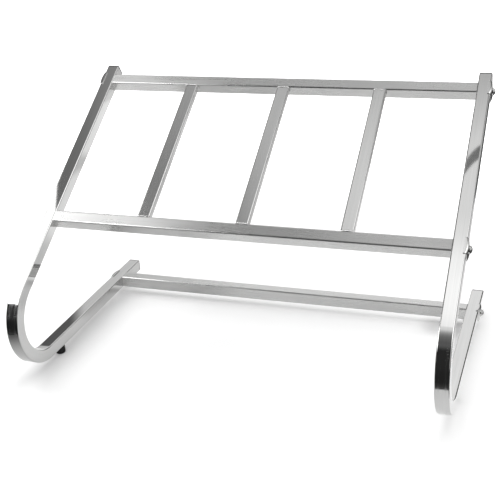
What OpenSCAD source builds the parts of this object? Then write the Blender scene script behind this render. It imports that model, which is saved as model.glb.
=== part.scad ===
// Free-standing sloped stand that holds a row of four third-size gastronorm pans.
// Two bent square tubes stand on rubber feet. Three cross rails are bolted between them,
// and three welded dividers split the slope into the pan openings.
// Millimetres, +X to the right, +Y to the back, +Z up. The origin is on the surface that
// the stand rests on, under the middle of its outline.

/* [Pans] */
// Width of one pan's rim, measured across the stand
pan_w = 176; // [160:1:190]
// Length of one pan's rim, measured up the slope
pan_l = 325; // [265:1:354]
// Free gap between the rims of neighbouring pans
pan_gap = 2; // [1:0.5:8]
// Width of rim that rests on the front rail and on the top rail
rim_rest = 10; // [6:0.5:14]

/* [Tube] */
// Outside width of the square tube
tube = 22.5; // [20:0.5:25]
// Wall of the square tube
tube_wall = 1.2; // [1:0.1:1.6]
// Outside corner radius of the square tube
tube_r = 2.5; // [2:0.1:3.5]
// Width of a divider's flat face
divider_w = 22; // [16:0.5:25]
// Depth of a divider, square to the slope
divider_t = 12; // [8:0.5:16]
// Wall of a divider
divider_wall = 1.2; // [1:0.1:1.6]
// Outside corner radius of a divider
divider_r = 2; // [1.8:0.1:3]

/* [Side frames] */
// Slope of the pans, from level
slope = 32; // [26:1:38]
// Outside radius of the bend at the front
bend_r = 90; // [75:1:105]
// Straight length of the arm on the feet, from the bend to its open end
lower_arm = 364; // [340:1:400]
// Straight length of the sloped arm from the bend to the front rail
slope_lead = 132; // [110:1:150]
// Length of the sloped arm that stands above the top rail
slope_tail = 20; // [15:1:40]
// Length of the lower arm that stands behind the base rail
base_tail = 56.5; // [50:0.5:80]

/* [Bolted joints] */
// Diameter of the joint bolts
bolt_d = 8; // [6:0.5:8]
// Radial clearance of a bolt in the side tube and in its saddle washer
bolt_slack = 0.3; // [0.2:0.05:0.5]
// Diameter of a bolt's domed head
head_d = 13; // [12:0.5:14]
// Height of a bolt's domed head
head_h = 5.2; // [4.5:0.1:6]
// Width across the flats of the hex socket
socket_af = 5; // [4:0.5:5]
// Thread that a bolt takes up in its insert
thread_grip = 14; // [10:1:18]
// Length of a saddle washer along the tube
saddle_len = 30; // [26:1:36]
// Thickness of a saddle washer at its crown
saddle_crown = 3.5; // [3:0.1:4.5]
// Thickness of a saddle washer at its ends
saddle_edge = 1; // [0.8:0.1:1.5]
// Reach of the saddle washer's lips over the tube's front and back
lip_reach = 4.5; // [3.5:0.1:6]
// Thickness of those lips
lip_t = 1.2; // [0.8:0.1:1.6]
// Length of the threaded insert in a rail's end
insert_len = 20; // [19:1:28]

/* [Feet and plugs] */
// Diameter of a rubber foot
foot_d = 18; // [18:0.5:20]
// Height of a rubber foot
foot_h = 15; // [13:0.5:20]
// Distance of the front feet behind the end of the bend
foot_front = 40; // [30:1:60]
// Distance of the rear feet from the open end of the lower arm
foot_rear = 30; // [25:1:35]
// Distance of the feet inside the middle line of the lower arm
foot_inset = 1; // [0:0.1:2]
// Diameter of the foot screws
foot_screw_d = 5; // [4:0.5:5]
// Thickness of an end plug's cap
plug_cap = 2; // [1.5:0.1:3]
// Length of an end plug's stem inside the tube
plug_stem = 14; // [12:1:18]

/* [Hidden] */
$fn = 64;

pans = 4;
steel = "silver";
polished = "gainsboro";
black = [0.07, 0.07, 0.08];
eps = 0.01;
fit = 0.05;

// The openings and the rails that frame them
pan_pitch = pan_w + pan_gap;
rail_len = pans * pan_pitch - divider_w;
slot_len = pan_l - 2 * rim_rest;
front_rail_s = slope_lead + tube / 2;
top_rail_s = slope_lead + 1.5 * tube + slot_len;
upper_arm = slope_lead + 2 * tube + slot_len + slope_tail;
base_rail_s = lower_arm - base_tail - tube / 2;
side_x = (rail_len + tube) / 2;

// The bend, and where its centre stands over the origin
bend_mid = bend_r - tube / 2;
rear_reach = (upper_arm + plug_cap) * cos(slope) - (bend_r - tube) * sin(slope);
bend_y = (bend_r - rear_reach) / 2;
bend_z = foot_h + bend_r;
bend_lap = 4;
half_turn = (180 - slope + bend_lap) / 2;

// Bore of the tube, bolts and saddle washers
tube_bore = tube - 2 * tube_wall;
bore_r = tube_r - tube_wall;
bolt_hole = bolt_d + 2 * bolt_slack;
spot_d = head_d + 1;
spot_depth = 0.5;
head_seat = saddle_crown - spot_depth;
head_rim = 1.6;
socket_depth = 2.8;
bolt_len = head_seat + tube + thread_grip;
saddle_sag = saddle_crown - saddle_edge;
saddle_r = (pow(saddle_len / 2, 2) + pow(saddle_sag, 2)) / (2 * saddle_sag);

// Parts of a foot and its fixing
foot_round = 1.5;
foot_well_d = foot_d - 8;
foot_well = foot_h - 7;
foot_washer_t = 1;
foot_washer_d = foot_well_d - 0.6;
foot_head_d = 9;
foot_head_h = 3;
nut_body_d = foot_screw_d + 2;
nut_flange_d = nut_body_d + 3;
nut_flange_t = 0.8;
nut_len = 9;

// Ribs of an end plug
plug_stem_w = tube_bore - 4;
plug_wall = 1.6;
plug_rib_t = 1;
plug_ribs = 3;

// Outline of a tube with rounded corners, centred
module tube_outline(w, d, r) {
    square([w - 2 * r, d], center = true);
    square([w, d - 2 * r], center = true);
    for (sx = [-1, 1], sy = [-1, 1])
        translate([sx * (w / 2 - r), sy * (d / 2 - r)]) circle(r);
}

// Wall of a tube, as a flat ring
module tube_ring(w, d, r, wall) {
    difference() {
        tube_outline(w, d, r);
        tube_outline(w - 2 * wall, d - 2 * wall, r - wall);
    }
}

// Turns a drawing of the side view, with x to the back and y up, so that its z is across the stand
module side_view(x) {
    translate([x, 0, 0]) rotate([90, 0, 90]) children();
}

// Places children on the centre line of the lower arm, with x along it
module on_lower_arm() {
    translate([bend_y, foot_h + tube / 2, 0]) children();
}

// Places children on the centre line of the sloped arm, with x up the slope and y square to it
module on_upper_arm() {
    translate([bend_y, bend_z, 0]) rotate([0, 0, slope]) translate([0, bend_mid, 0]) children();
}

// Solid bar of square section w along x
module arm(len, w, r) {
    rotate([0, 90, 0]) linear_extrude(len) tube_outline(w, w, r);
}

// Half of the bend from one arm's tangent, with the bend's centre at the origin
module half_bend(w, r, from) {
    rotate_extrude(start = from, angle = half_turn) translate([bend_mid, 0]) tube_outline(w, w, r);
}

// The whole bent bar with square section w, its open ends longer by extra.
// The halves of the bend lap by a few degrees on their common radius.
module bent_bar(w, r, extra) {
    translate([bend_y, bend_z, 0]) {
        translate([0, -bend_mid, 0]) arm(lower_arm + extra, w, r);
        half_bend(w, r, 270 - half_turn);
        rotate([0, 0, slope]) {
            translate([0, bend_mid, 0]) arm(upper_arm + extra, w, r);
            half_bend(w, r, 90);
        }
    }
}

// Places children at the three bolted joints of a side, in the side view
module at_joints() {
    on_upper_arm() translate([top_rail_s, 0, 0]) children();
    on_upper_arm() translate([front_rail_s, 0, 0]) children();
    on_lower_arm() translate([base_rail_s, 0, 0]) children();
}

// Stations of the two feet along a lower arm
foot_stations = [foot_front, lower_arm - foot_rear];

// One bent square tube with its bolt holes and foot holes
module side_frame(x) {
    color(polished) side_view(x) difference() {
        bent_bar(tube, tube_r, 0);
        bent_bar(tube_bore, bore_r, eps);
        at_joints() cylinder(h = tube + 2, d = bolt_hole, center = true);
        for (s = foot_stations)
            on_lower_arm() translate([s, -tube / 2 + tube_wall / 2, -sign(x) * foot_inset]) rotate([90, 0, 0])
                cylinder(h = 2 * tube_wall, d = nut_body_d + 2 * fit, center = true);
    }
}

// One cross rail, in the side view
module rail() {
    color(steel) linear_extrude(rail_len, center = true) tube_ring(tube, tube, tube_r, tube_wall);
}

module top_rail() { side_view(0) on_upper_arm() translate([top_rail_s, 0, 0]) rail(); }
module front_rail() { side_view(0) on_upper_arm() translate([front_rail_s, 0, 0]) rail(); }
module base_rail() { side_view(0) on_lower_arm() translate([base_rail_s, 0, 0]) rail(); }

// One flat divider between the front rail and the top rail, its face flush with theirs
module divider(x) {
    color(steel) side_view(x) on_upper_arm()
        translate([front_rail_s + tube / 2, (tube - divider_t) / 2, 0]) rotate([0, 90, 0])
            linear_extrude(slot_len) tube_ring(divider_w, divider_t, divider_r, divider_wall);
}

// The two threaded inserts in the ends of a rail, in the side view
module rail_inserts() {
    color("darkgray") for (side = [-1, 1])
        translate([0, 0, side * (rail_len - insert_len) / 2]) linear_extrude(insert_len, center = true)
            difference() {
                tube_outline(tube_bore - 2 * fit, tube_bore - 2 * fit, bore_r - fit);
                circle(d = bolt_d + 2 * fit);
            }
}

// Saddle washer over the outside of a tube. It lies along x, its crown faces +z,
// and z = 0 is the tube's centre line
module saddle_washer() {
    color(polished) difference() {
        intersection() {
            translate([-saddle_len / 2, -tube / 2 - lip_t, tube / 2 - lip_reach])
                cube([saddle_len, tube + 2 * lip_t, lip_reach + saddle_crown]);
            translate([0, 0, tube / 2 + saddle_crown - saddle_r]) rotate([90, 0, 0])
                cylinder(h = 2 * tube, r = saddle_r, center = true, $fn = 180);
        }
        arm_core();
        cylinder(h = tube, d = bolt_hole);
        translate([0, 0, tube / 2 + head_seat]) cylinder(h = saddle_crown, d = spot_d);
    }
}

// Solid bar with the tube's outline, longer than a saddle washer
module arm_core() {
    translate([-saddle_len, 0, 0]) arm(2 * saddle_len, tube, tube_r);
}

// Domed bolt with a hex socket, its head on the saddle washer and its thread towards -z
module joint_bolt() {
    dome_rise = head_h - head_rim;
    dome_r = (pow(head_d / 2, 2) + pow(dome_rise, 2)) / (2 * dome_rise);
    color(polished) translate([0, 0, tube / 2 + head_seat]) {
        difference() {
            intersection() {
                cylinder(h = head_h, d = head_d);
                translate([0, 0, head_h - dome_r]) sphere(dome_r);
            }
            translate([0, 0, head_h - socket_depth])
                cylinder(h = head_h, d = socket_af / cos(30), $fn = 6);
        }
        translate([0, 0, -bolt_len]) cylinder(h = bolt_len, d = bolt_d);
    }
}

// Places children at the three joints of one side, with +z outwards from the stand
module outside_joints(side) {
    side_view(side * side_x) at_joints() rotate([side < 0 ? 180 : 0, 0, 0]) children();
}

// Ribbed end plug: its cap starts at x = 0 and its stem runs towards -x
module end_plug() {
    rib_gap = plug_stem / plug_ribs;
    color(black) rotate([0, 90, 0]) {
        linear_extrude(plug_cap) tube_outline(tube, tube, tube_r);
        translate([0, 0, -plug_stem]) linear_extrude(plug_stem)
            tube_ring(plug_stem_w, plug_stem_w, plug_wall + 0.4, plug_wall);
        for (i = [0 : plug_ribs - 1])
            translate([0, 0, -plug_stem + i * rib_gap]) linear_extrude(plug_rib_t) difference() {
                tube_outline(tube_bore - 2 * fit, tube_bore - 2 * fit, bore_r - fit);
                square(plug_stem_w - 2, center = true);
            }
    }
}

module upper_plug(side) {
    side_view(side * side_x) on_upper_arm() translate([upper_arm, 0, 0]) end_plug();
}

module lower_plug(side) {
    side_view(side * side_x) on_lower_arm() translate([lower_arm, 0, 0]) end_plug();
}

// Places children under a lower arm, at z = 0 on the surface that the stand rests on
module under_arm(side, station) {
    translate([side * (side_x - foot_inset), bend_y + station, 0]) children();
}

// Round rubber foot with a rounded tread edge, a well for the screw head and a rebate for the nut
module foot(side, station) {
    color(black) under_arm(side, station) rotate_extrude() difference() {
        union() {
            square([foot_d / 2 - foot_round, foot_h]);
            translate([0, foot_round]) square([foot_d / 2, foot_h - foot_round]);
            translate([foot_d / 2 - foot_round, foot_round]) circle(foot_round);
        }
        translate([-foot_d, -foot_d]) square([foot_d, 4 * foot_d]);
        square([foot_screw_d / 2 + 0.2, foot_h]);
        square([foot_well_d / 2, foot_well]);
        translate([0, foot_h - nut_flange_t]) square([nut_flange_d / 2 + fit, nut_flange_t]);
    }
}

// Places children under all four feet
module at_feet() {
    for (side = [-1, 1], station = foot_stations) under_arm(side, station) children();
}

module foot_washers() {
    color(steel) at_feet() translate([0, 0, foot_well - foot_washer_t]) difference() {
        cylinder(h = foot_washer_t, d = foot_washer_d);
        translate([0, 0, -1]) cylinder(h = foot_washer_t + 2, d = foot_screw_d + 0.4);
    }
}

// Pan-head screws that hold the feet, with a cross recess left out of sight in the well
module foot_screws() {
    head_top = foot_well - foot_washer_t;
    color(steel) at_feet() {
        translate([0, 0, head_top - foot_head_h]) difference() {
            cylinder(h = foot_head_h, d = foot_head_d);
            translate([0, 0, -1]) cylinder(h = 2.2, d = 2.5, $fn = 6);
        }
        translate([0, 0, head_top]) cylinder(h = foot_h + nut_len - head_top, d = foot_screw_d);
    }
}

// Rivet nuts in the floor wall of the lower arms
module foot_rivet_nuts() {
    color(steel) at_feet() translate([0, 0, foot_h]) difference() {
        union() {
            translate([0, 0, -nut_flange_t]) cylinder(h = nut_flange_t, d = nut_flange_d);
            cylinder(h = nut_len, d = nut_body_d);
            translate([0, 0, tube_wall]) cylinder(h = 2.5, d = nut_body_d + 2);
        }
        translate([0, 0, -5]) cylinder(h = nut_len + 10, d = foot_screw_d + 2 * fit);
    }
}

side_frame(-side_x);  // left_side_frame
side_frame(side_x);  // right_side_frame
top_rail();
front_rail();
base_rail();
divider(-pan_pitch);  // left_divider
divider(0);  // centre_divider
divider(pan_pitch);  // right_divider
side_view(0) on_upper_arm() translate([top_rail_s, 0, 0]) rail_inserts();  // top_rail_inserts
side_view(0) on_upper_arm() translate([front_rail_s, 0, 0]) rail_inserts();  // front_rail_inserts
side_view(0) on_lower_arm() translate([base_rail_s, 0, 0]) rail_inserts();  // base_rail_inserts
outside_joints(-1) saddle_washer();  // left_saddle_washers
outside_joints(1) saddle_washer();  // right_saddle_washers
outside_joints(-1) joint_bolt();  // left_bolts
outside_joints(1) joint_bolt();  // right_bolts
upper_plug(-1);  // left_upper_plug
lower_plug(-1);  // left_lower_plug
upper_plug(1);  // right_upper_plug
lower_plug(1);  // right_lower_plug
foot(-1, foot_front);  // front_left_foot
foot(1, foot_front);  // front_right_foot
foot(-1, lower_arm - foot_rear);  // rear_left_foot
foot(1, lower_arm - foot_rear);  // rear_right_foot
foot_washers();
foot_screws();
foot_rivet_nuts();
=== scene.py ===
"""Looks of a four-pan sloped gastronorm stand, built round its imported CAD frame.

Two bent side tubes, the saddle washers and the weld beads are new surfaces. The rails, dividers,
bolts, plugs and feet are the CAD nodes with their own finishes. Metres, +X right, +Y back, +Z up.
"""

import math

import bpy
import numpy as np
from bpy.props import FloatProperty, FloatVectorProperty, PointerProperty
from mathutils import Matrix, Vector


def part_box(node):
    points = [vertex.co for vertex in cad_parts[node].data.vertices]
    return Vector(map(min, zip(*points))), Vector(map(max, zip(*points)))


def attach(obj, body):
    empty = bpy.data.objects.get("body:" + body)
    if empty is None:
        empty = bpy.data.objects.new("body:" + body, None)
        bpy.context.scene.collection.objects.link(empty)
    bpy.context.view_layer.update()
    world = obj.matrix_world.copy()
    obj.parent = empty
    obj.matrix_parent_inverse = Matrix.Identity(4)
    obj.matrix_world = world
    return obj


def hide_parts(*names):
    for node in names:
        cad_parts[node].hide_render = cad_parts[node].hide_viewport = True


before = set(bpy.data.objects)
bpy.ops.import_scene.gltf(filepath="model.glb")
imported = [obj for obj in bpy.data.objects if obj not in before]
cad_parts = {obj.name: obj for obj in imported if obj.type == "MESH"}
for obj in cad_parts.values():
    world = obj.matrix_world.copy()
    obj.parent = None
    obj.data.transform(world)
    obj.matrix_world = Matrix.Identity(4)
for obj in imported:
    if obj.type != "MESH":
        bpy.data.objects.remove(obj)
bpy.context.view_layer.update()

bl_info = {
    "name": "Pan stand looks",
    "version": (1, 0, 0),
    "blender": (4, 5, 0),
    "location": "View3D > Sidebar > Pan stand",
    "description": "Side tubes, washers, weld beads, finishes and studio of a sloped pan stand",
    "category": "Object",
}

BODY = "root"
SIDES = (("left", -1), ("right", 1))

# Grain of the steel: noise per metre, along the grain and twice across it.
FINE_LINES = (9.0, 1500.0, 1500.0)
BROAD_BANDS = (4.0, 160.0, 160.0)
CLOUDS = 11.0
LINE_DEPTH = 0.0002
# The shares of the lines, the bands and the clouds in the steel's tone and in its roughness.
TONE_MIX = (0.6, 0.25, 0.15)
TONE_STEP = (0.36, 0.64)  # the mix's levels at the darkest and at the lightest tone
TONE_SPREAD = (0.955, 1.03)  # of the steel's colour, in its darkest and its lightest lines
GLOSS_MIX = (0.35, 0.35, 0.5)
GLOSS_MEAN = 0.6  # the mix's usual level, taken off it
GLOSS_SWING = 0.9  # of the roughness, how far the rest of the mix changes it
QUARTER_TURN = 0.25  # of a whole turn: the gloss is spread across the grain
# Shallow waves where a tube was bent: relief and soft ends in metres, the bands' levels where a
# streak starts and is full, and how much rougher the steel gets in a streak and all over.
DENT_DEPTH = 0.00012
DENT_FADE = 0.04
DENT_STEP = (0.35, 0.65)
DENT_STREAKS, DENT_HAZE = 7, 2
# The small parts' finishes: the clouds' scale beside the fine grain's, the mix's levels at the
# darkest and at the lightest tone, the bump's strength, how far the roughness changes, and the
# mirror-like share of metal and of the rest.
PLAIN_CLOUDS = 0.06
PLAIN_STEP = (0.35, 0.65)
PLAIN_BUMP = 0.35
PLAIN_SWING = 0.5
METAL_SPECULAR, MATT_SPECULAR = 0.5, 0.2

# Shapes, as shares of another size.
SIDE_LEAN = 0.35  # of the bend's sink, how far the tube's sides lean out
SIDE_KEEP = 4  # power that keeps the drawing in and the leaning out to their own walls
FLAT_END = 0.08  # of a corner's radius, from a flat's end to its extra point
BEAD_CORNER = 1.2  # of a weld bead's radius, the corners of its outline
BEAD_SINK = 0.5  # of a weld bead's radius, how far its middle line lies inside the divider
BEAD_RIPPLES, BEAD_RIPPLE = 31, 0.07  # along one bead, and of its radius
BEAD_WAVES, BEAD_WAVE = 5, 0.10
DIVIDER_PHASE, END_PHASE = 2.1, 1.3  # turn the waves on from bead to bead, in radians
SHARP_ANGLE = math.radians(35)

# Camera: the photograph's viewpoint, angles in radians, lengths in pixels of the photograph.
IMAGE_SIZE = 500
SENSOR = 36.0
CAMERA_PLACE = (0.52278, -1.42829, 0.85873)
PAN, TILT, ROLL = -0.34185, -0.41228, -0.06306
FOCAL_LENGTH = 955.96
FRAME_SHIFT = (15.0, -5.0)

# Tables of patches: a level, then the patch's soft edges. Each edge is the name of a place, where
# its smooth step starts, with nothing of the patch past it, and where it ends.

# Floor: metres on the floor. "ahead" runs square to the slightly slanted front edge of the table,
# and "slanted" runs across the floor from the dividers' reflections to the left arm's.
TABLE_SLANT = 0.08
DIVIDER_SLANT = 0.43
# Painted reflections in the steel: the floor's even glow and its patches of painted light and
# painted shade, which only the steel sees.
FLOOR_PAINTED_REFLECTION_BASE = 0.24
FLOOR_PAINTED_REFLECTIONS = (
    # painted dark reflection in front of the stand, and more at the left
    (-0.36, ("ahead", -0.12, -0.36)),
    (-0.41, ("ahead", -0.12, -0.36), ("x", -0.30, -0.36)),
    # painted dark reflection behind the stand
    (-0.22, ("y", 0.3, 0.5)),
    # painted dark reflection left of the middle, below the slope
    (-0.26, ("x", -0.10, -0.20), ("y", 0.25, 0.05)),
    # painted shade in the reflection behind the base rail, at the left
    (-0.42, ("y", 0.16, 0.22), ("y", 0.43, 0.30), ("x", 0.10, -0.05)),
    # painted dark reflection that the lower halves of the dividers' sides see
    (-0.32, ("y", 0.42, 0.50), ("y", 1.0, 0.9), ("x", 0.34, 0.28), ("x", 0.11, 0.15)),
    # painted dark reflection that their upper halves see
    (-0.28, ("slanted", -0.18, -0.15), ("y", 0.9, 1.0)),
    # painted shade in the reflection in front of the base rail, and more at the left
    (-0.12, ("y", 0.16, 0.13), ("y", 0.0, 0.05), ("x", -0.335, -0.30)),
    (-0.15, ("y", 0.16, 0.13), ("y", 0.0, 0.05), ("x", -0.335, -0.30), ("x", 0.0, -0.2)),
    # a painted light lane between the arms of the right side frame, with a painted darker stretch
    (0.22, ("x", 0.30, 0.36), ("x", 0.41, 0.38), ("y", 0.9, 0.6)),
    (-0.176, ("x", 0.30, 0.36), ("x", 0.41, 0.38), ("y", 0.9, 0.6),
     ("y", 0.20, 0.25), ("y", 0.48, 0.40)),
    # painted reflection right of the right side frame: darker behind, lighter in front
    (-0.22, ("x", 0.38, 0.41)),
    (0.40, ("x", 0.38, 0.41), ("y", 0.15, 0.05)),
)
FLOOR_GLOW_AND_PAINTED_SHADOW = (
    # what the camera sees of the floor's own glow: more of it farther away, and painted light to
    # the right and to the front
    (0.75, ("away", 0.45, 1.5)),
    (0.16, ("x", -0.15, 0.40)),
    (0.10, ("y", 0.15, -0.3)),
    # painted shadow beside the left and the right side frame, deeper than the cast shadow
    (-0.17, ("x", -0.24, -0.33), ("x", -0.40, -0.37), ("y", 0.2, 0.0), ("y", -0.27, -0.15)),
    (-0.28, ("x", 0.31, 0.335), ("x", 0.37, 0.355), ("y", -0.20, 0.06), ("y", 0.17, 0.14)),
    (-0.25, ("x", 0.25, 0.29), ("x", 0.345, 0.32), ("y", 0.08, 0.115), ("y", 0.17, 0.14)),
)
FLOOR_EVEN_GLOW = 0.16
# How far the table's right edge moves out with the distance. The table is seen only by the steel:
# past its edges the steel sees a painted dark reflection.
TABLE_SIDE = (
    (-0.035, ("y", 1.35, 1.5)),
    (-0.4, ("y", 1.76, 1.84)),
)
# The table's right and front edges, each from where the table has ended to where it is full.
TABLE_RIGHT = (0.455, 0.446)
TABLE_FRONT = (-0.390, -0.385)
# Beyond the table, a painted grey reflection that only the steel sees, and the shares of it that
# are taken off in front of the table and at the left.
BEYOND = 0.11
BEYOND_SHADES = (
    (0.80, ("ahead", -0.3, -0.5)),
    (0.35, ("x", -0.34, -0.41)),
)

# World: parts of the direction in which the steel sees it.
WORLD_BASE = 0.13
OVERHEAD_MIDDLE = (-0.10, -0.02)
OVERHEAD_FADE = (
    (0.0, 1.0), (0.02, 0.99), (0.043, 0.91), (0.065, 0.75), (0.087, 0.67), (0.14, 0.65),
    (0.165, 0.61), (0.184, 0.53), (0.219, 0.41), (0.25, 0.30), (0.28, 0.22), (0.33, 0.13),
    (0.37, 0.085), (0.41, 0.054), (0.56, 0.0))
OVERHEAD_HEIGHT = (0.5, 0.7)
# The wall behind gets brighter from left to right and ends at a leaning edge.
WALL_LEVELS = ((0.2, 0.42), (0.28, 0.62), (0.36, 0.80), (0.45, 0.90))
WALL_LEAN = 0.63
WALL_EDGES = (("lean", -0.012, 0.012), ("x", 0.05, 0.0), ("y", 0.05, 0.15), ("z", 0.85, 0.70))
WALL_TOP = (0.5, ("z", 0.5, 0.65))
DIAGONAL = 0.52
# A thin dark band lies over the overhead light, along a parabola.
ARC_LEAN, ARC_MIDDLE, ARC_CURVE, ARC_HEIGHT = 1.2, -0.105, 38.0, 0.250
OVERHEAD_SHADES = (
    # the thin band, as the right arm shows it
    (0.88, ("arc", 0.0076, 0.006), ("x", -0.14, -0.13), ("x", -0.07, -0.08)),
    # two dark places, as the front rail's face shows them
    (0.85, ("x", -0.405, -0.385), ("x", -0.325, -0.355), ("y", 0.13, 0.08)),
    (0.90, ("x", -0.402, -0.385), ("x", -0.332, -0.350), ("y", 0.18, 0.12)),
)
WORLD_SHADES = (
    # the dark room on the camera's side
    (0.80, ("y", -0.1, -0.35), ("z", 0.75, 0.6), ("x", 0.25, 0.05)),
    (0.95, ("y", 0.035, -0.04), ("x", -0.18, -0.28), ("x", -0.46, -0.43)),
    # low at the right behind
    (0.85, ("x", 0.18, 0.28), ("y", 0.76, 0.84), ("z", 0.38, 0.28)),
)
WORLD_LIGHTS = (
    # a window at the right, as the tubes' right corners show it
    (2.0, ("x", 0.15, 0.35), ("y", 0.25, 0.08), ("y", -0.6, -0.3), ("z", 0.35, 0.5),
     ("x", 0.86, 0.78)),
    # in front at the left
    (2.2, ("x", -0.40, -0.43), ("diagonal", -0.02, 0.02), ("y", -0.4, -0.6), ("z", 0.05, 0.2)),
    # far to the right
    (0.62, ("x", 0.55, 0.65), ("y", 0.82, 0.72), ("z", -0.15, 0.0)),
    # high behind, at the left
    (0.21, ("y", 0.05, 0.16), ("x", -0.52, -0.40), ("x", -0.14, -0.30), ("z", 0.6, 0.75)),
    (0.34, ("y", 0.20, 0.30), ("x", -0.50, -0.35), ("x", 0.1, -0.05), ("z", 0.6, 0.75)),
    # the softbox's glow at the left ends of the rails
    (2.3, ("x", -0.482, -0.462), ("x", -0.39, -0.43), ("y", 0.02, -0.08), ("y", -0.86, -0.74)),
    # behind at the right
    (0.55, ("x", 0.2, 0.4), ("y", 0.5, 0.7), ("z", 0.35, 0.5)),
)
# Lamps: name, size, share of the lamp's power, place and where it aims.
LAMPS = (
    ("overhead_light", 3.0, 1.0, (0.0, 0.5, 2.6), (0.0, 0.0, 0.1)),
    ("left_light", 1.0, 0.25, (-1.2, 0.1, 0.95), (-0.3, 0.0, 0.0)),
    ("back_light", 1.0, 0.36, (0.0, 1.9, 1.0), (0.0, 0.1, 0.0)),
)


# ---------------------------------------------------------------- settings


class FrameSizes(bpy.types.PropertyGroup):
    """Sizes of the bent side tubes, the saddle washers and the weld beads."""

    tube: FloatProperty(name="Tube", description="Outside width of the square tube",
                        default=0.0225, min=0.015, max=0.03, unit="LENGTH")
    wall: FloatProperty(name="Wall", description="Wall of the tube",
                        default=0.0012, min=0.0008, max=0.002, unit="LENGTH")
    corner: FloatProperty(name="Corner radius", description="Outside radius of the tube's corners",
                          default=0.0020, min=0.001, max=0.004, unit="LENGTH")
    bend: FloatProperty(name="Bend radius", description="Outside radius of the bend at the front",
                        default=0.09, min=0.06, max=0.12, unit="LENGTH")
    slope: FloatProperty(name="Slope", description="Slope of the upper arm from level",
                         default=math.radians(32), min=0.3, max=0.8, subtype="ANGLE")
    lower_arm: FloatProperty(name="Lower arm", description="Straight length of the lower arm",
                             default=0.364, min=0.3, max=0.45, unit="LENGTH")
    upper_arm: FloatProperty(name="Upper arm", description="Straight length of the sloped arm",
                             default=0.502, min=0.4, max=0.6, unit="LENGTH")
    sink: FloatProperty(name="Bend sink", description="How far the bend's outer wall is drawn in",
                        default=0.0004, min=0.0, max=0.0015, unit="LENGTH")
    washer: FloatProperty(name="Washer length", description="Length of the saddle washers",
                          default=0.03, min=0.026, max=0.036, unit="LENGTH")
    crown: FloatProperty(name="Washer crown", description="Thickness of a washer at its crown",
                         default=0.0035, min=0.003, max=0.0045, unit="LENGTH")
    washer_edge: FloatProperty(name="Washer edge", description="Thickness of a washer at its ends",
                               default=0.001, min=0.0008, max=0.0015, unit="LENGTH")
    washer_round: FloatProperty(name="Washer rounding", description="Radius of a washer's edges",
                                default=0.0036, min=0.0005, max=0.004, unit="LENGTH")
    lip: FloatProperty(name="Lip", description="Thickness of a washer's lips",
                       default=0.0012, min=0.0008, max=0.0016, unit="LENGTH")
    lip_reach: FloatProperty(name="Lip reach", description="Reach of the lips over the tube",
                             default=0.0045, min=0.0035, max=0.006, unit="LENGTH")
    weld: FloatProperty(name="Weld bead", description="Radius of the weld beads on the dividers",
                        default=0.0019, min=0.0005, max=0.003, unit="LENGTH")


class Finishes(bpy.types.PropertyGroup):
    """Colours and gloss of the steel, plastic and rubber."""

    steel: FloatVectorProperty(name="Steel", description="Reflected colour of the stainless steel",
                               default=(0.66, 0.66, 0.655), subtype="COLOR", min=0, max=1)
    zinc: FloatVectorProperty(name="Plated steel", description="Reflected colour of plated steel",
                              default=(0.60, 0.61, 0.62), subtype="COLOR", min=0, max=1)
    plastic: FloatVectorProperty(name="Plug plastic", description="Colour of the end plugs",
                                 default=(0.022, 0.022, 0.023), subtype="COLOR", min=0, max=1)
    rubber: FloatVectorProperty(name="Rubber", description="Colour of the feet",
                                default=(0.016, 0.016, 0.016), subtype="COLOR", min=0, max=1)
    polish: FloatProperty(name="Polished roughness", description="Roughness of the side tubes",
                          default=0.022, min=0.01, max=0.5, subtype="FACTOR")
    rails: FloatProperty(name="Rail roughness", description="Roughness of the brushed rails",
                         default=0.285, min=0.05, max=0.6, subtype="FACTOR")
    dividers: FloatProperty(name="Divider roughness", description="Roughness of the dividers",
                            default=0.15, min=0.05, max=0.6, subtype="FACTOR")


class Studio(bpy.types.PropertyGroup):
    """Light levels of the studio."""

    fill: FloatProperty(name="Fill", description="Level of the even light from all round",
                        default=0.42, min=0, max=2)
    lamp: FloatProperty(name="Lamp", description="Power of the lamp overhead",
                        default=30.0, min=0, max=200)
    softbox: FloatProperty(name="Softbox", description="Level of the softbox on the left",
                           default=3.0, min=0, max=8)
    overhead: FloatProperty(name="Overhead", description="Level of the light overhead",
                            default=1.3, min=0, max=8)
    floor: FloatVectorProperty(name="Floor", description="Colour of the floor",
                               default=(0.90, 0.90, 0.90), subtype="COLOR", min=0, max=1)


# ---------------------------------------------------------------- shader helpers


class Wire:
    """An output socket that Python's signs work on: each adds one Math node."""

    def __init__(self, nodes, socket):
        self.nodes, self.socket = nodes, socket

    def math(self, operation, *values):
        return self.nodes.add("ShaderNodeMath", {"operation": operation}, dict(enumerate(values)))

    def __add__(self, other):
        return self.math("ADD", self, other)

    __radd__ = __add__

    def __sub__(self, other):
        return self.math("SUBTRACT", self, other)

    def __rsub__(self, other):
        return self.math("SUBTRACT", other, self)

    def __mul__(self, other):
        return self.math("MULTIPLY", self, other)

    __rmul__ = __mul__

    def __pow__(self, other):
        return self.math("POWER", self, other)


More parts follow.
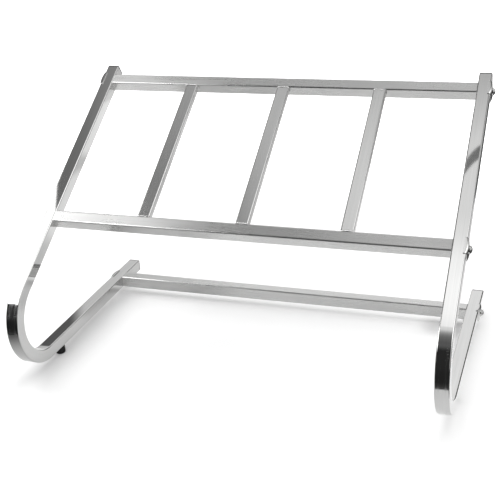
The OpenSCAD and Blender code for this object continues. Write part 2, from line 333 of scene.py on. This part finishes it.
class Nodes:
    """One node tree, and the one way in which nodes are added to it."""

    def __init__(self, owner):
        owner.use_nodes = True
        self.tree = owner.node_tree
        self.tree.nodes.clear()

    def add(self, kind, settings=None, sockets=None, out=0):
        """A node of that kind: first its settings, then values or wires for its sockets."""
        node = self.tree.nodes.new(kind)
        for name, value in (settings or {}).items():
            if name == "stops":
                ramp = node.color_ramp
                while len(ramp.elements) < len(value):
                    ramp.elements.new(1.0)
                for element, (place, level) in zip(ramp.elements, value):
                    element.position, element.color = place, (level, level, level, 1)
            else:
                setattr(node, name, value)
        for key, value in (sockets or {}).items():
            if isinstance(value, Wire):
                self.tree.links.new(value.socket, node.inputs[key])
            else:
                node.inputs[key].default_value = value
        return Wire(self, node.outputs[out]) if node.outputs else None

    def ramp(self, value, low, high):
        """value's smooth step, 0 at low and 1 at high."""
        return self.add("ShaderNodeMapRange", {"interpolation_type": "SMOOTHSTEP"},
                        {"Value": value, "From Min": low, "From Max": high})

    def xyz(self, vector):
        """The three parts of a vector."""
        first = self.add("ShaderNodeSeparateXYZ", None, {0: vector})
        return [Wire(self, socket) for socket in first.socket.node.outputs]

    def patch(self, places, level, edges):
        """level inside soft edges."""
        for name, start, end in edges:
            level = self.ramp(places[name], start, end) * level
        return level

    def patches(self, places, base, table):
        """base and the sum of a table of patches."""
        for level, *edges in table:
            base = self.patch(places, level, edges) + base
        return base

    def shaded(self, value, places, table):
        """What a table of patches leaves of value, where each takes its level as a share."""
        for share, *edges in table:
            value = value * (1 - self.patch(places, share, edges))
        return value

    def blend(self, amount, first, second):
        """A mix of two colours, which the Mix node takes at its sockets 6 and 7."""
        return self.add("ShaderNodeMix", {"data_type": "RGBA"},
                        {0: amount, 6: first, 7: second}, 2)

    def mixed(self, wires, shares):
        """The sum of the wires, each times its share."""
        total, *rest = (wire * share for wire, share in zip(wires, shares))
        for one in rest:
            total = total + one
        return total

    def levels(self, value, stops):
        """value's grey level on a ramp of stops, each a place from 0 to 1 and a level.

        The colour times 1 is a plain value."""
        return self.add("ShaderNodeValToRGB", {"stops": stops}, {0: value}) * 1

    def seen_by(self, *rays):
        """One wire for each kind of ray, 1 where the surface is seen by it."""
        path = self.add("ShaderNodeLightPath").socket.node.outputs
        return [Wire(self, path[ray]) for ray in rays]

    def noise(self, vector, scale, detail, roughness):
        """Noise between 0 and 1."""
        return self.add("ShaderNodeTexNoise", None, {
            "Vector": vector, "Scale": scale, "Detail": detail, "Roughness": roughness})


def grey(level):
    """A grey, as a colour with alpha."""
    return (level, level, level, 1.0)


def tinted(colour, share):
    """colour times share, as a colour with alpha."""
    return (*(min(1.0, c * share) for c in colour), 1.0)


def grained_steel(name, colour, roughness, grain, spread, along, relief, dented=None):
    """Steel with fine lines along its grain.

    grain(nodes) gives a position whose first part runs along the grain, in metres. The lines are
    noise that is squeezed across the grain. along(nodes) is the direction of the grain, and the
    gloss is spread across it by spread. relief is the lines' strength as a bump.
    dented is a stretch of the grain, from and to, where the steel is drawn into shallow waves.
    """
    material = bpy.data.materials.new(name)
    nodes = Nodes(material)
    place = grain(nodes)
    squeezed = nodes.add("ShaderNodeMapping", None, {"Vector": place, "Scale": FINE_LINES})
    lines = nodes.noise(squeezed, 1.0, detail=3.0, roughness=0.6)
    wide = nodes.add("ShaderNodeMapping", None, {"Vector": place, "Scale": BROAD_BANDS})
    bands = nodes.noise(wide, 1.0, detail=2.0, roughness=0.5)
    clouds = nodes.noise(place, CLOUDS, detail=3.0, roughness=0.55)
    grains = (lines, bands, clouds)
    tone = nodes.ramp(nodes.mixed(grains, TONE_MIX), *TONE_STEP)
    gloss = (nodes.mixed(grains, GLOSS_MIX) - GLOSS_MEAN) * GLOSS_SWING + 1.0
    bump = nodes.add("ShaderNodeBump", None,
                     {"Strength": relief, "Distance": LINE_DEPTH, "Height": lines})
    if dented:
        start, end = dented
        run, _, _ = nodes.xyz(place)
        inside = (nodes.ramp(run, start, start + DENT_FADE)
                  * nodes.ramp(run, end, end - DENT_FADE))
        bump = nodes.add("ShaderNodeBump", None, {
            "Strength": 1.0, "Distance": DENT_DEPTH, "Height": bands * inside, "Normal": bump})
        streaks = nodes.ramp(bands, *DENT_STEP) * inside
        gloss = gloss * (streaks * DENT_STREAKS + inside * DENT_HAZE + 1)
    dark, light = TONE_SPREAD
    shader = nodes.add("ShaderNodeBsdfPrincipled", None, {
        "Base Color": nodes.blend(tone, tinted(colour, dark), tinted(colour, light)),
        "Metallic": 1.0,
        "Roughness": gloss * roughness,
        "Anisotropic": spread,
        "Anisotropic Rotation": QUARTER_TURN,
        "Tangent": along(nodes),
        "Normal": bump,
    })
    nodes.add("ShaderNodeOutputMaterial", None, {"Surface": shader})
    return material


def object_place(nodes):
    """A point's place on the piece, in metres."""
    return nodes.add("ShaderNodeTexCoord", out="Object")


def turned_place(angle):
    """A place whose first part runs up a slope at that angle."""
    def place(nodes):
        turned = nodes.add("ShaderNodeMapping", None, {
            "Vector": object_place(nodes), "Rotation": (-angle, 0.0, 0.0)})
        x, y, z = nodes.xyz(turned)
        return nodes.add("ShaderNodeCombineXYZ", None, {"X": y, "Y": x, "Z": z})
    return place


def fixed_direction(vector):
    """The same direction everywhere."""
    def direction(nodes):
        return nodes.add("ShaderNodeCombineXYZ", None, dict(enumerate(vector)))
    return direction


def uv_place(nodes):
    """The place on a swept tube: along its path and round its outline, in metres."""
    return nodes.add("ShaderNodeUVMap", {"uv_map": "along"})


def uv_direction(nodes):
    """The direction of a swept tube's path."""
    return nodes.add("ShaderNodeTangent", {"direction_type": "UV_MAP", "uv_map": "along"})


def plain_finish(name, colour, metallic, roughness, scale, depth, spread=0.25):
    """A finish with a fine cloudy grain, for small steel parts, moulded plastic and rubber.

    scale is the grain's noise per metre, depth its relief in metres, and spread how far its
    tone goes to both sides of the colour.
    """
    material = bpy.data.materials.new(name)
    nodes = Nodes(material)
    place = object_place(nodes)
    fine = nodes.noise(place, scale, detail=3.0, roughness=0.6)
    clouds = nodes.noise(place, scale * PLAIN_CLOUDS, detail=2.0, roughness=0.5)
    tone = nodes.ramp(nodes.mixed((fine, clouds), (0.5, 0.5)), *PLAIN_STEP)
    bump = nodes.add("ShaderNodeBump", None,
                     {"Strength": PLAIN_BUMP, "Distance": depth, "Height": fine})
    shader = nodes.add("ShaderNodeBsdfPrincipled", None, {
        "Base Color": nodes.blend(tone, tinted(colour, 1 - spread), tinted(colour, 1 + spread)),
        "Metallic": metallic,
        "Roughness": (clouds * PLAIN_SWING + (1 - PLAIN_SWING / 2)) * roughness,
        "Specular IOR Level": METAL_SPECULAR if metallic else MATT_SPECULAR,
        "Normal": bump,
    })
    nodes.add("ShaderNodeOutputMaterial", None, {"Surface": shader})
    return material


def vertices(node):
    """A CAD node's vertices in the shared frame, as an array."""
    flat = np.empty(len(node.data.vertices) * 3, dtype=np.float32)
    node.data.vertices.foreach_get("co", flat)
    turn = np.array(node.matrix_world)
    return flat.reshape(-1, 3) @ turn[:3, :3].T + turn[:3, 3]


def clad(names, material):
    """Gives CAD nodes a finish."""
    for name in names:
        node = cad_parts[name]
        for slot in node.material_slots:
            slot.material = material


# ---------------------------------------------------------------- surfaces


def outline(width, depth, radius, arc_steps, flat_steps):
    """A rounded rectangle, as points and their distance round it.

    Each corner is a quarter circle, and each flat is split evenly, with one more point close to
    both of its ends, so that the shading of the flat stays flat.
    """
    points = []
    for quarter in range(4):
        turn = quarter * math.pi / 2
        sx = width / 2 - radius
        sy = depth / 2 - radius
        centre = [(sx, sy), (-sx, sy), (-sx, -sy), (sx, -sy)][quarter]
        angles = turn + np.linspace(0, math.pi / 2, arc_steps + 1)
        arc = np.stack([centre[0] + radius * np.cos(angles),
                        centre[1] + radius * np.sin(angles)], 1)
        following = [(-sx, sy), (-sx, -sy), (sx, -sy), (sx, sy)][quarter]
        start = arc[-1]
        end_angle = turn + math.pi / 2
        end = np.array([following[0] + radius * math.cos(end_angle),
                        following[1] + radius * math.sin(end_angle)])
        share = np.linspace(0, 1, flat_steps + 1)[1:-1]
        near = radius * FLAT_END / np.linalg.norm(end - start)
        share = np.concatenate([[near], share, [1 - near]])[:, None]
        points.append(arc)
        points.append(start + (end - start) * share)
    points = np.concatenate(points)
    steps = np.linalg.norm(np.roll(points, -1, 0) - points, axis=1)
    return points, np.concatenate([[0], np.cumsum(steps)])


def grid_mesh(name, sets, lengths, round_lengths, closed=False, caps=False):
    """A mesh from sets of rings of points (stations by points round), with a UV map in metres.

    lengths are the stations' distances along, and round_lengths the points' distances round.
    closed joins the last ring to the first. The faces are the quads between neighbours, and
    with caps, the first and last rings.
    """
    stations, count = sets[0].shape[:2]
    last = stations if closed else stations - 1
    i, j = np.meshgrid(np.arange(last), np.arange(count), indexing="ij")
    ni, nj = (i + 1) % stations, (j + 1) % count
    quads = np.stack([i * count + j, i * count + nj, ni * count + nj, ni * count + j], -1)
    run, run_on = lengths[i], lengths[i + 1]
    turn, turn_on = round_lengths[j], round_lengths[j + 1]
    uv = np.stack([np.stack([run, run, run_on, run_on], -1),
                   np.stack([turn, turn_on, turn_on, turn], -1)], -1).reshape(-1, 2)
    faces, corners = [], []
    for number in range(len(sets)):
        first = number * stations * count
        faces += (quads.reshape(-1, 4) + first).tolist()
        corners.append(uv)
        if caps:
            last_ring = first + (stations - 1) * count
            faces += [list(range(first + count - 1, first - 1, -1)),
                      list(range(last_ring, last_ring + count))]
            corners.append(np.zeros((2 * count, 2)))
    mesh = bpy.data.meshes.new(name)
    mesh.from_pydata(np.concatenate([one.reshape(-1, 3) for one in sets]), [], faces)
    layer = mesh.uv_layers.new(name="along")
    layer.data.foreach_set("uv", np.concatenate(corners).reshape(-1).astype(np.float32))
    mesh.shade_smooth()
    mesh.set_sharp_from_angle(angle=SHARP_ANGLE)
    mesh.validate()
    return mesh


def piece(name, mesh, material, replaced=()):
    """Puts a mesh into the scene as a piece that rides on the stand."""
    mesh.materials.append(material)
    made = bpy.data.objects.new(name, mesh)
    bpy.context.scene.collection.objects.link(made)
    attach(made, BODY)
    if replaced:
        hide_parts(*replaced)


def bead_ring(low, high, radius, sink, stations, count, phase):
    """A weld bead round a rounded rectangle: rings of points, along it and round its section.

    low and high are the rectangle's corners across (first part) and through (second part). The
    middle line is its outline drawn in by sink, with corners a little larger than the bead. The
    section is a circle whose radius rises and falls like laid weld, by two sines along the
    outline. The third part of each point is its distance from the rectangle's plane.
    """
    size, middle = high - low, (high + low) / 2
    line, lengths = outline(size[0] - 2 * sink, size[1] - 2 * sink, radius * BEAD_CORNER,
                            arc_steps=6, flat_steps=24)
    places = np.linspace(0, lengths[-1], stations, endpoint=False)
    closed = np.concatenate([line, line[:1]])
    path = np.stack([np.interp(places, lengths, closed[:, k]) for k in (0, 1)], 1)
    forward = np.roll(path, -1, 0) - np.roll(path, 1, 0)
    forward /= np.linalg.norm(forward, axis=1)[:, None]
    out = np.stack([forward[:, 1], -forward[:, 0]], 1)
    turn = places / lengths[-1] * 2 * math.pi
    swell = (1 + BEAD_RIPPLE * np.sin(BEAD_RIPPLES * turn + phase)
             + BEAD_WAVE * np.sin(BEAD_WAVES * turn + 2 * phase))
    round_turn = np.linspace(0, 2 * math.pi, count, endpoint=False)
    reach = radius * swell[:, None]
    points = np.empty((stations, count, 3))
    points[..., :2] = (path + middle)[:, None] + out[:, None] * (
        reach * np.cos(round_turn))[..., None]
    points[..., 2] = reach * np.sin(round_turn)
    return points


def saddle_rings(sizes, stations=33, arc_steps=8, flat_steps=14):
    """The rings of a saddle washer: stations along the tube, points round its channel section.

    Each point is its place along the tube, across it and outwards from its centre line. The
    section runs along the outside, whose corners are rounded, and back along the inside, round
    the tube's corners. Its crown is an arc of a circle along the tube, and the washer's ends
    are rounded by drawing the outside in along a quarter circle.
    """
    half, reach = sizes.tube / 2, sizes.tube / 2 - sizes.lip_reach
    sag = sizes.crown - sizes.washer_edge
    arc = ((sizes.washer / 2) ** 2 + sag ** 2) / (2 * sag)
    edge = sizes.washer_edge / 2
    end = sizes.washer / 2
    place = -np.cos(np.linspace(0, 1, stations) * math.pi) * end
    place = np.unique(np.concatenate([place, np.array([-1, 1]) * (end - edge / 2)]))
    drawn = np.clip((np.abs(place) - (end - edge)) / edge, 0, 1)
    drawn = edge * (1 - np.sqrt(1 - drawn ** 2))
    turn = np.linspace(0, math.pi / 2, arc_steps + 1)
    flat = np.linspace(-1, 1, flat_steps + 1)[1:-1]
    rings = []
    for u, inset in zip(place, drawn):
        top = half + sizes.crown - (arc - math.sqrt(arc ** 2 - u ** 2)) - inset
        side = half + sizes.lip - inset
        low = reach + inset
        paths = []
        for wide, high, radius in ((half, half, sizes.corner), (side, top, sizes.washer_round)):
            right = np.stack([wide - radius + radius * np.cos(turn),
                              high - radius + radius * np.sin(turn)], 1)
            left = right[::-1] * [-1, 1]
            middle = np.stack([-flat * (wide - radius), np.full(len(flat), high)], 1)
            paths.append(np.concatenate([[[wide, low]], right, middle, left, [[-wide, low]]]))
        section = np.concatenate([paths[1], paths[0][::-1]])
        rings.append(np.insert(section, 0, u, axis=1))
    rings = np.array(rings)
    steps = np.linalg.norm(np.roll(rings[0], -1, 0) - rings[0], axis=1)
    return rings, place, np.concatenate([[0], np.cumsum(steps)])


def side_path(sizes, bend_centre, arm_steps=24, bend_steps=96):
    """The side tube's centre line: level arm, bend, sloped arm.

    Gives for each station the middle point (y, z), the outward direction (y, z), the distance
    along, and how far into the bend it is (0 on the arms, 1 in the bend's middle).
    The outward direction turns from straight down round the front to the slope's normal.
    """
    radius = sizes.bend - sizes.tube / 2
    sweep = math.pi - sizes.slope
    turn = np.linspace(0, sweep, bend_steps + 1)
    low = np.linspace(-sizes.lower_arm, 0, arm_steps + 1)[:-1]
    high = np.linspace(0, sizes.upper_arm, arm_steps + 1)[1:]
    along = np.concatenate([low, turn * radius, sweep * radius + high])
    angle = np.concatenate([np.zeros(len(low)), turn, np.full(len(high), sweep)])
    out = np.stack([-np.sin(angle), -np.cos(angle)], 1)
    forward = np.stack([-np.cos(angle), np.sin(angle)], 1)
    extra = np.concatenate([low, np.zeros(len(turn)), high])
    middle = np.array(bend_centre) + out * radius + forward * extra[:, None]
    share = np.clip(along / (sweep * radius), 0, 1)
    depth = np.sin(np.pi * share) ** 2
    return middle, out, along, depth


def side_tube(name, sizes, x, material):
    """One bent side tube, open at both ends, with its wall.

    The outline (a across the stand, b outwards from the bend) is carried along the path, back
    along the outside and out along the inside of the wall. In the bend the outer wall is drawn
    in and the inner wall pushed in, by sink times 1 - (a / half)^2, and the sides lean out.
    """
    low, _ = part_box(name + "_side_frame")
    centre = (low.y + sizes.bend, low.z + sizes.bend)
    middle, out, along, depth = side_path(sizes, centre)
    rings, lengths = [], []
    for inner in (False, True):
        inset = sizes.wall if inner else 0.0
        size = sizes.tube - 2 * inset
        points, round_lengths = outline(size, size, sizes.corner - inset,
                                        arc_steps=7, flat_steps=5)
        a, b = points[:, 0], points[:, 1]
        half = size / 2
        crown = 1 - (np.clip(np.abs(a) / half, 0, 1)) ** 2
        side_crown = 1 - (np.clip(np.abs(b) / half, 0, 1)) ** 2
        pull = -sizes.sink * crown * np.sign(b) * (np.abs(b) / half) ** SIDE_KEEP
        lean = (-SIDE_LEAN * sizes.sink * side_crown * np.sign(a)
                * (np.abs(a) / half) ** SIDE_KEEP)
        across = a + depth[:, None] * lean
        outwards = b + depth[:, None] * pull
        ring = np.empty((len(middle), len(points), 3))
        ring[..., 0] = x + across
        ring[..., 1:] = middle[:, None] + outwards[..., None] * out[:, None]
        order = slice(None) if inner else slice(None, None, -1)
        rings.append(ring[order])
        lengths.append(along[order])
        if not inner:
            outer_round = round_lengths
    rings = np.concatenate(rings)
    lengths = np.concatenate([*lengths, [along[-1]]])
    mesh = grid_mesh(name + "_tube", [rings], lengths, outer_round, closed=True)
    piece(name + "_tube", mesh, material, [name + "_side_frame"])


# ---------------------------------------------------------------- operators


class PANSTAND_OT_side_tubes(bpy.types.Operator):
    """Make the two bent side tubes and their polished finish"""

    bl_idname = "panstand.side_tubes"
    bl_label = "Side tubes"

    def execute(self, context):
        sizes, finish = context.scene.stand_sizes, context.scene.stand_finishes
        bend_end = (math.pi - sizes.slope) * (sizes.bend - sizes.tube / 2)
        polished = grained_steel("polished_steel", finish.steel, finish.polish, uv_place,
                                 spread=0.4, along=uv_direction, relief=0.003,
                                 dented=(0.0, bend_end))
        for side, _ in SIDES:
            low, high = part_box(side + "_side_frame")
            side_tube(side, sizes, (low.x + high.x) / 2, polished)
        return {"FINISHED"}


class PANSTAND_OT_rails(bpy.types.Operator):
    """Give the three rails and the three dividers their satin finish"""

    bl_idname = "panstand.rails"
    bl_label = "Rails and dividers"

    def execute(self, context):
        sizes, finish = context.scene.stand_sizes, context.scene.stand_finishes
        rails = grained_steel("satin_steel_rails", finish.steel, finish.rails, object_place,
                              spread=0.96, along=fixed_direction((1.0, 0.0, 0.0)), relief=0.05)
        clad(["top_rail", "front_rail", "base_rail"], rails)
        up = (0.0, math.cos(sizes.slope), math.sin(sizes.slope))
        dividers = grained_steel("satin_steel_dividers", finish.steel, finish.dividers,
                                 turned_place(sizes.slope), spread=0.3,
                                 along=fixed_direction(up), relief=0.03)
        clad(["left_divider", "centre_divider", "right_divider"], dividers)
        return {"FINISHED"}


class PANSTAND_OT_welds(bpy.types.Operator):
    """Make the weld beads where the dividers meet the rails"""

    bl_idname = "panstand.welds"
    bl_label = "Weld beads"

    def execute(self, context):
        sizes, finish = context.scene.stand_sizes, context.scene.stand_finishes
        frame_low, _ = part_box("left_side_frame")
        start = np.array([frame_low.y + sizes.bend, frame_low.z + sizes.bend])
        up = np.array([math.cos(sizes.slope), math.sin(sizes.slope)])
        out = np.array([-up[1], up[0]])
        rings, stations, count = [], 240, 20
        for number, name in enumerate(("left", "centre", "right")):
            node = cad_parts[name + "_divider"]
            corners = vertices(node)
            along, through = (corners[:, 1:] - start) @ up, (corners[:, 1:] - start) @ out
            low = np.array([corners[:, 0].min(), through.min()])
            high = np.array([corners[:, 0].max(), through.max()])
            for end, place in enumerate((along.min(), along.max())):
                points = bead_ring(low, high, sizes.weld, sizes.weld * BEAD_SINK, stations,
                                   count, phase=number * DIVIDER_PHASE + end * END_PHASE)
                ring = np.empty_like(points)
                ring[..., 0] = points[..., 0]
                ring[..., 1:] = (start + points[..., 1:2] * out
                                 + (place + points[..., 2:3]) * up)
                rings.append(ring)
        steel = plain_finish("weld_steel", finish.steel, metallic=1.0, roughness=0.22,
                             scale=500.0, depth=0.00003, spread=0.04)
        run, girth = 0.07, 0.01
        for number, ring in enumerate(rings):
            mesh = grid_mesh("weld_bead", [ring], np.linspace(0, run, stations + 1),
                             np.linspace(0, girth, count + 1), closed=True)
            piece(f"weld_bead_{number + 1}", mesh, steel)
        return {"FINISHED"}


class PANSTAND_OT_fixings(bpy.types.Operator):
    """Make the saddle washers, and give the bolts, inserts and foot screws their finishes"""

    bl_idname = "panstand.fixings"
    bl_label = "Fixings"

    def execute(self, context):
        sizes, finish = context.scene.stand_sizes, context.scene.stand_finishes
        fixings = plain_finish("polished_fixings", finish.steel, metallic=1.0, roughness=0.16,
                               scale=900.0, depth=0.00002, spread=0.03)
        plated = plain_finish("plated_steel", finish.zinc, metallic=1.0, roughness=0.38,
                              scale=700.0, depth=0.00004, spread=0.06)
        clad(["left_bolts", "right_bolts"], fixings)
        clad(["top_rail_inserts", "front_rail_inserts", "base_rail_inserts",
              "foot_washers", "foot_screws", "foot_rivet_nuts"], plated)
        rings, lengths, round_lengths = saddle_rings(sizes)
        for side, sign in SIDES:
            low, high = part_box(side + "_side_frame")
            placed = []
            for rail, slope in (("top_rail", sizes.slope), ("front_rail", sizes.slope),
                                ("base_rail", 0.0)):
                rail_low, rail_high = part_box(rail)
                middle = (rail_low + rail_high) / 2
                along = np.array([0.0, math.cos(slope), math.sin(slope)])
                across = np.array([0.0, -math.sin(slope), math.cos(slope)])
                start = np.array([(low.x + high.x) / 2, middle.y, middle.z])
                placed.append(start + rings[..., 0:1] * along + rings[..., 1:2] * across * sign
                              + rings[..., 2:3] * np.array([sign, 0.0, 0.0]))
            mesh = grid_mesh(side + "_washers", placed, lengths, round_lengths, caps=True)
            piece(side + "_washers", mesh, fixings, [side + "_saddle_washers"])
        return {"FINISHED"}


class PANSTAND_OT_plugs_and_feet(bpy.types.Operator):
    """Give the end plugs and the feet their plastic and rubber"""

    bl_idname = "panstand.plugs_and_feet"
    bl_label = "Plugs and feet"

    def execute(self, context):
        finish = context.scene.stand_finishes
        plastic = plain_finish("plug_plastic", finish.plastic, metallic=0.0, roughness=0.42,
                               scale=2600.0, depth=0.00004)
        rubber = plain_finish("foot_rubber", finish.rubber, metallic=0.0, roughness=0.7,
                              scale=1800.0, depth=0.00008)
        clad([side + end for side in ("left", "right") for end in ("_upper_plug", "_lower_plug")],
             plastic)
        clad([end + side + "_foot" for end in ("front_", "rear_") for side in ("left", "right")],
             rubber)
        return {"FINISHED"}


def panel(name, corners, material):
    """A flat stage panel."""
    mesh = bpy.data.meshes.new(name)
    mesh.from_pydata(corners, [], [tuple(range(len(corners)))])
    mesh.materials.append(material)
    made = bpy.data.objects.new(name, mesh)
    bpy.context.scene.collection.objects.link(made)
    return made


class PANSTAND_OT_studio(bpy.types.Operator):
    """Make the pale floor, the soft lights, the white surroundings and the camera"""

    bl_idname = "panstand.studio"
    bl_label = "Studio"

    def execute(self, context):
        studio = context.scene.stand_studio
        context.scene.view_settings.view_transform = "Standard"
        self.floor(studio)
        self.softbox(studio)
        self.world(context, studio)
        self.lamps(context, studio)
        self.camera(context)
        return {"FINISHED"}

    def floor(self, studio):
        """A pale floor. The camera and the steel get some glow from it, more of it farther from
        the stand, and the stand's shadow stays. The glow holds painted light and painted shadow
        for the camera and painted reflections of light and shade for the steel. The steel sees it
        as a table that ends in front of the stand, along a slightly slanted edge, and at the
        right, with a painted grey reflection beyond."""
        material = bpy.data.materials.new("floor")
        nodes = Nodes(material)
        x, y, _ = nodes.xyz(object_place(nodes))
        ahead = y - x * TABLE_SLANT
        places = {"x": x, "y": y, "ahead": ahead, "slanted": x - y * DIVIDER_SLANT,
                  "away": (x * x + y * y) ** 0.5}
        camera, glossy = nodes.seen_by("Is Camera Ray", "Is Glossy Ray")
        # painted light and painted shadow for the camera, painted reflections of light and shade
        # for the steel
        glow = (camera * nodes.patches(places, FLOOR_EVEN_GLOW, FLOOR_GLOW_AND_PAINTED_SHADOW)
                + glossy * nodes.patches(places, FLOOR_PAINTED_REFLECTION_BASE, FLOOR_PAINTED_REFLECTIONS))
        side = nodes.patches(places, x, TABLE_SIDE)
        table = nodes.ramp(side, *TABLE_RIGHT) * nodes.ramp(ahead, *TABLE_FRONT)
        plain = nodes.add("ShaderNodeAddShader", None, {
            0: nodes.add("ShaderNodeBsdfDiffuse", None, {"Color": (*studio.floor, 1.0)}),
            1: nodes.add("ShaderNodeEmission", None, {"Color": grey(1.0), "Strength": glow})})
        # painted grey reflection past the table's edges, seen only by the steel
        beyond = nodes.add("ShaderNodeEmission", None, {
            "Color": grey(BEYOND), "Strength": nodes.shaded(1.0, places, BEYOND_SHADES)})
        seen = nodes.add("ShaderNodeMixShader", None, {
            0: glossy * (1 - table), 1: plain, 2: beyond})
        nodes.add("ShaderNodeOutputMaterial", None, {"Surface": seen})
        far = 9.0
        panel("floor", [(-far, -far, 0), (far, -far, 0), (far, far, 0), (-far, far, 0)], material)

    def softbox(self, studio):
        """A large softbox on the left. Its edges rise to the front, and its glow fades to a rim
        along the upper edge."""
        x, front, knee, bow, back = -2.2, -3.6, -0.8, 0.05, 0.35
        low, high, rise = 1.16, 3.44, -0.344
        peak, bow_drop, back_drop = 1.2, 0.017, 0.030
        rim, fade = 0.6, 0.9
        material = bpy.data.materials.new("softbox")
        nodes = Nodes(material)
        _, along, up = nodes.xyz(object_place(nodes))
        inside = nodes.ramp(up - along * rise, high, high - fade)
        glow = nodes.add("ShaderNodeEmission", None, {
            "Color": grey(1.0), "Strength": (inside + rim) * studio.softbox})
        nodes.add("ShaderNodeOutputMaterial", None, {"Surface": glow})
        corners = ((front, low + rise * front), (back, low + rise * back),
                   (back, high - back_drop), (bow, high - bow_drop),
                   (knee, high + rise * knee), (front, high + rise * front + peak))
        made = panel("softbox", [(x, *corner) for corner in corners], material)
        made.visible_camera = made.visible_diffuse = made.visible_shadow = False

    def world(self, context, studio):
        """Even light for matt surfaces; white to the camera; in the steel a dark camera side,
        a white wall behind and a light overhead that fades outwards."""
        world = bpy.data.worlds.new("studio")
        context.scene.world = world
        nodes = Nodes(world)
        x, y, z = nodes.xyz(nodes.add("ShaderNodeTexCoord", out="Generated"))
        arc = y - x * ARC_LEAN + (x - ARC_MIDDLE) ** 2 * ARC_CURVE - ARC_HEIGHT
        places = {"x": x, "y": y, "z": z, "lean": x + y * WALL_LEAN,
                  "diagonal": x - y * DIAGONAL, "arc": (arc * arc) ** 0.5}
        middle_x, middle_y = OVERHEAD_MIDDLE
        off = ((x - middle_x) ** 2 + (y - middle_y) ** 2) ** 0.5
        overhead = nodes.levels(off, OVERHEAD_FADE) * studio.overhead
        overhead = overhead * nodes.ramp(z, *OVERHEAD_HEIGHT)
        overhead = nodes.shaded(overhead, places, OVERHEAD_SHADES)
        wall = nodes.patch(places, nodes.levels(x * 0.5 + 0.5, WALL_LEVELS), WALL_EDGES)
        wall = wall * nodes.patches(places, 1.0, (WALL_TOP,))
        steel_sees = nodes.shaded(overhead + wall + WORLD_BASE, places, WORLD_SHADES)
        steel_sees = nodes.patches(places, steel_sees, WORLD_LIGHTS)
        camera, glossy = nodes.seen_by("Is Camera Ray", "Is Glossy Ray")
        level = glossy * steel_sees + camera + (1 - glossy) * (1 - camera) * studio.fill
        glow = nodes.add("ShaderNodeBackground", None, {"Color": grey(1.0), "Strength": level})
        nodes.add("ShaderNodeOutputWorld", None, {"Surface": glow})

    def lamps(self, context, studio):
        """Square lamps that light the matt surfaces and throw the shadow, unseen by the steel."""
        for name, size, share, place, aim in LAMPS:
            lamp = bpy.data.lights.new(name, "AREA")
            lamp.shape, lamp.size, lamp.energy = "SQUARE", size, studio.lamp * share
            made = bpy.data.objects.new(name, lamp)
            made.location = place
            made.rotation_euler = (Vector(aim) - made.location).to_track_quat("-Z", "Y").to_euler()
            made.visible_glossy = made.visible_camera = False
            context.scene.collection.objects.link(made)

    def camera(self, context):
        """The photograph's viewpoint: place, pan, tilt and roll, and its field of view."""
        forward = Vector((math.sin(PAN) * math.cos(TILT), math.cos(PAN) * math.cos(TILT),
                          math.sin(TILT)))
        level = Vector((math.cos(PAN), -math.sin(PAN), 0.0))
        above = level.cross(forward)
        right = math.cos(ROLL) * level + math.sin(ROLL) * above
        up = -math.sin(ROLL) * level + math.cos(ROLL) * above
        data = bpy.data.cameras.new("camera")
        data.sensor_width = SENSOR
        data.lens = FOCAL_LENGTH / IMAGE_SIZE * SENSOR
        shift_x, shift_y = FRAME_SHIFT
        data.shift_x, data.shift_y = -shift_x / IMAGE_SIZE, shift_y / IMAGE_SIZE
        data.clip_end = 50.0
        made = bpy.data.objects.new("camera", data)
        made.matrix_world = Matrix.Translation(CAMERA_PLACE) @ Matrix(
            (right, up, -forward)).transposed().to_4x4()
        context.scene.collection.objects.link(made)
        context.scene.camera = made


class PANSTAND_PT_panel(bpy.types.Panel):
    """The stand's sizes, finishes and steps"""

    bl_idname = "PANSTAND_PT_panel"
    bl_label = "Pan stand"
    bl_space_type = "VIEW_3D"
    bl_region_type = "UI"
    bl_category = "Pan stand"

    def draw(self, context):
        layout = self.layout
        for group in (context.scene.stand_sizes, context.scene.stand_finishes,
                      context.scene.stand_studio):
            box = layout.box()
            for name in group.__annotations__:
                box.prop(group, name)
        for step in STEPS:
            layout.operator(step.bl_idname)


STEPS = (PANSTAND_OT_side_tubes, PANSTAND_OT_rails, PANSTAND_OT_welds, PANSTAND_OT_fixings,
         PANSTAND_OT_plugs_and_feet, PANSTAND_OT_studio)
CLASSES = (FrameSizes, Finishes, Studio, *STEPS, PANSTAND_PT_panel)


def register():
    for one in CLASSES:
        bpy.utils.register_class(one)
    bpy.types.Scene.stand_sizes = PointerProperty(type=FrameSizes)
    bpy.types.Scene.stand_finishes = PointerProperty(type=Finishes)
    bpy.types.Scene.stand_studio = PointerProperty(type=Studio)


def unregister():
    del bpy.types.Scene.stand_sizes, bpy.types.Scene.stand_finishes, bpy.types.Scene.stand_studio
    for one in reversed(CLASSES):
        bpy.utils.unregister_class(one)


def main():
    register()
    for step in STEPS:
        group, name = step.bl_idname.split(".")
        getattr(getattr(bpy.ops, group), name)()


if __name__ == "__main__":
    main()
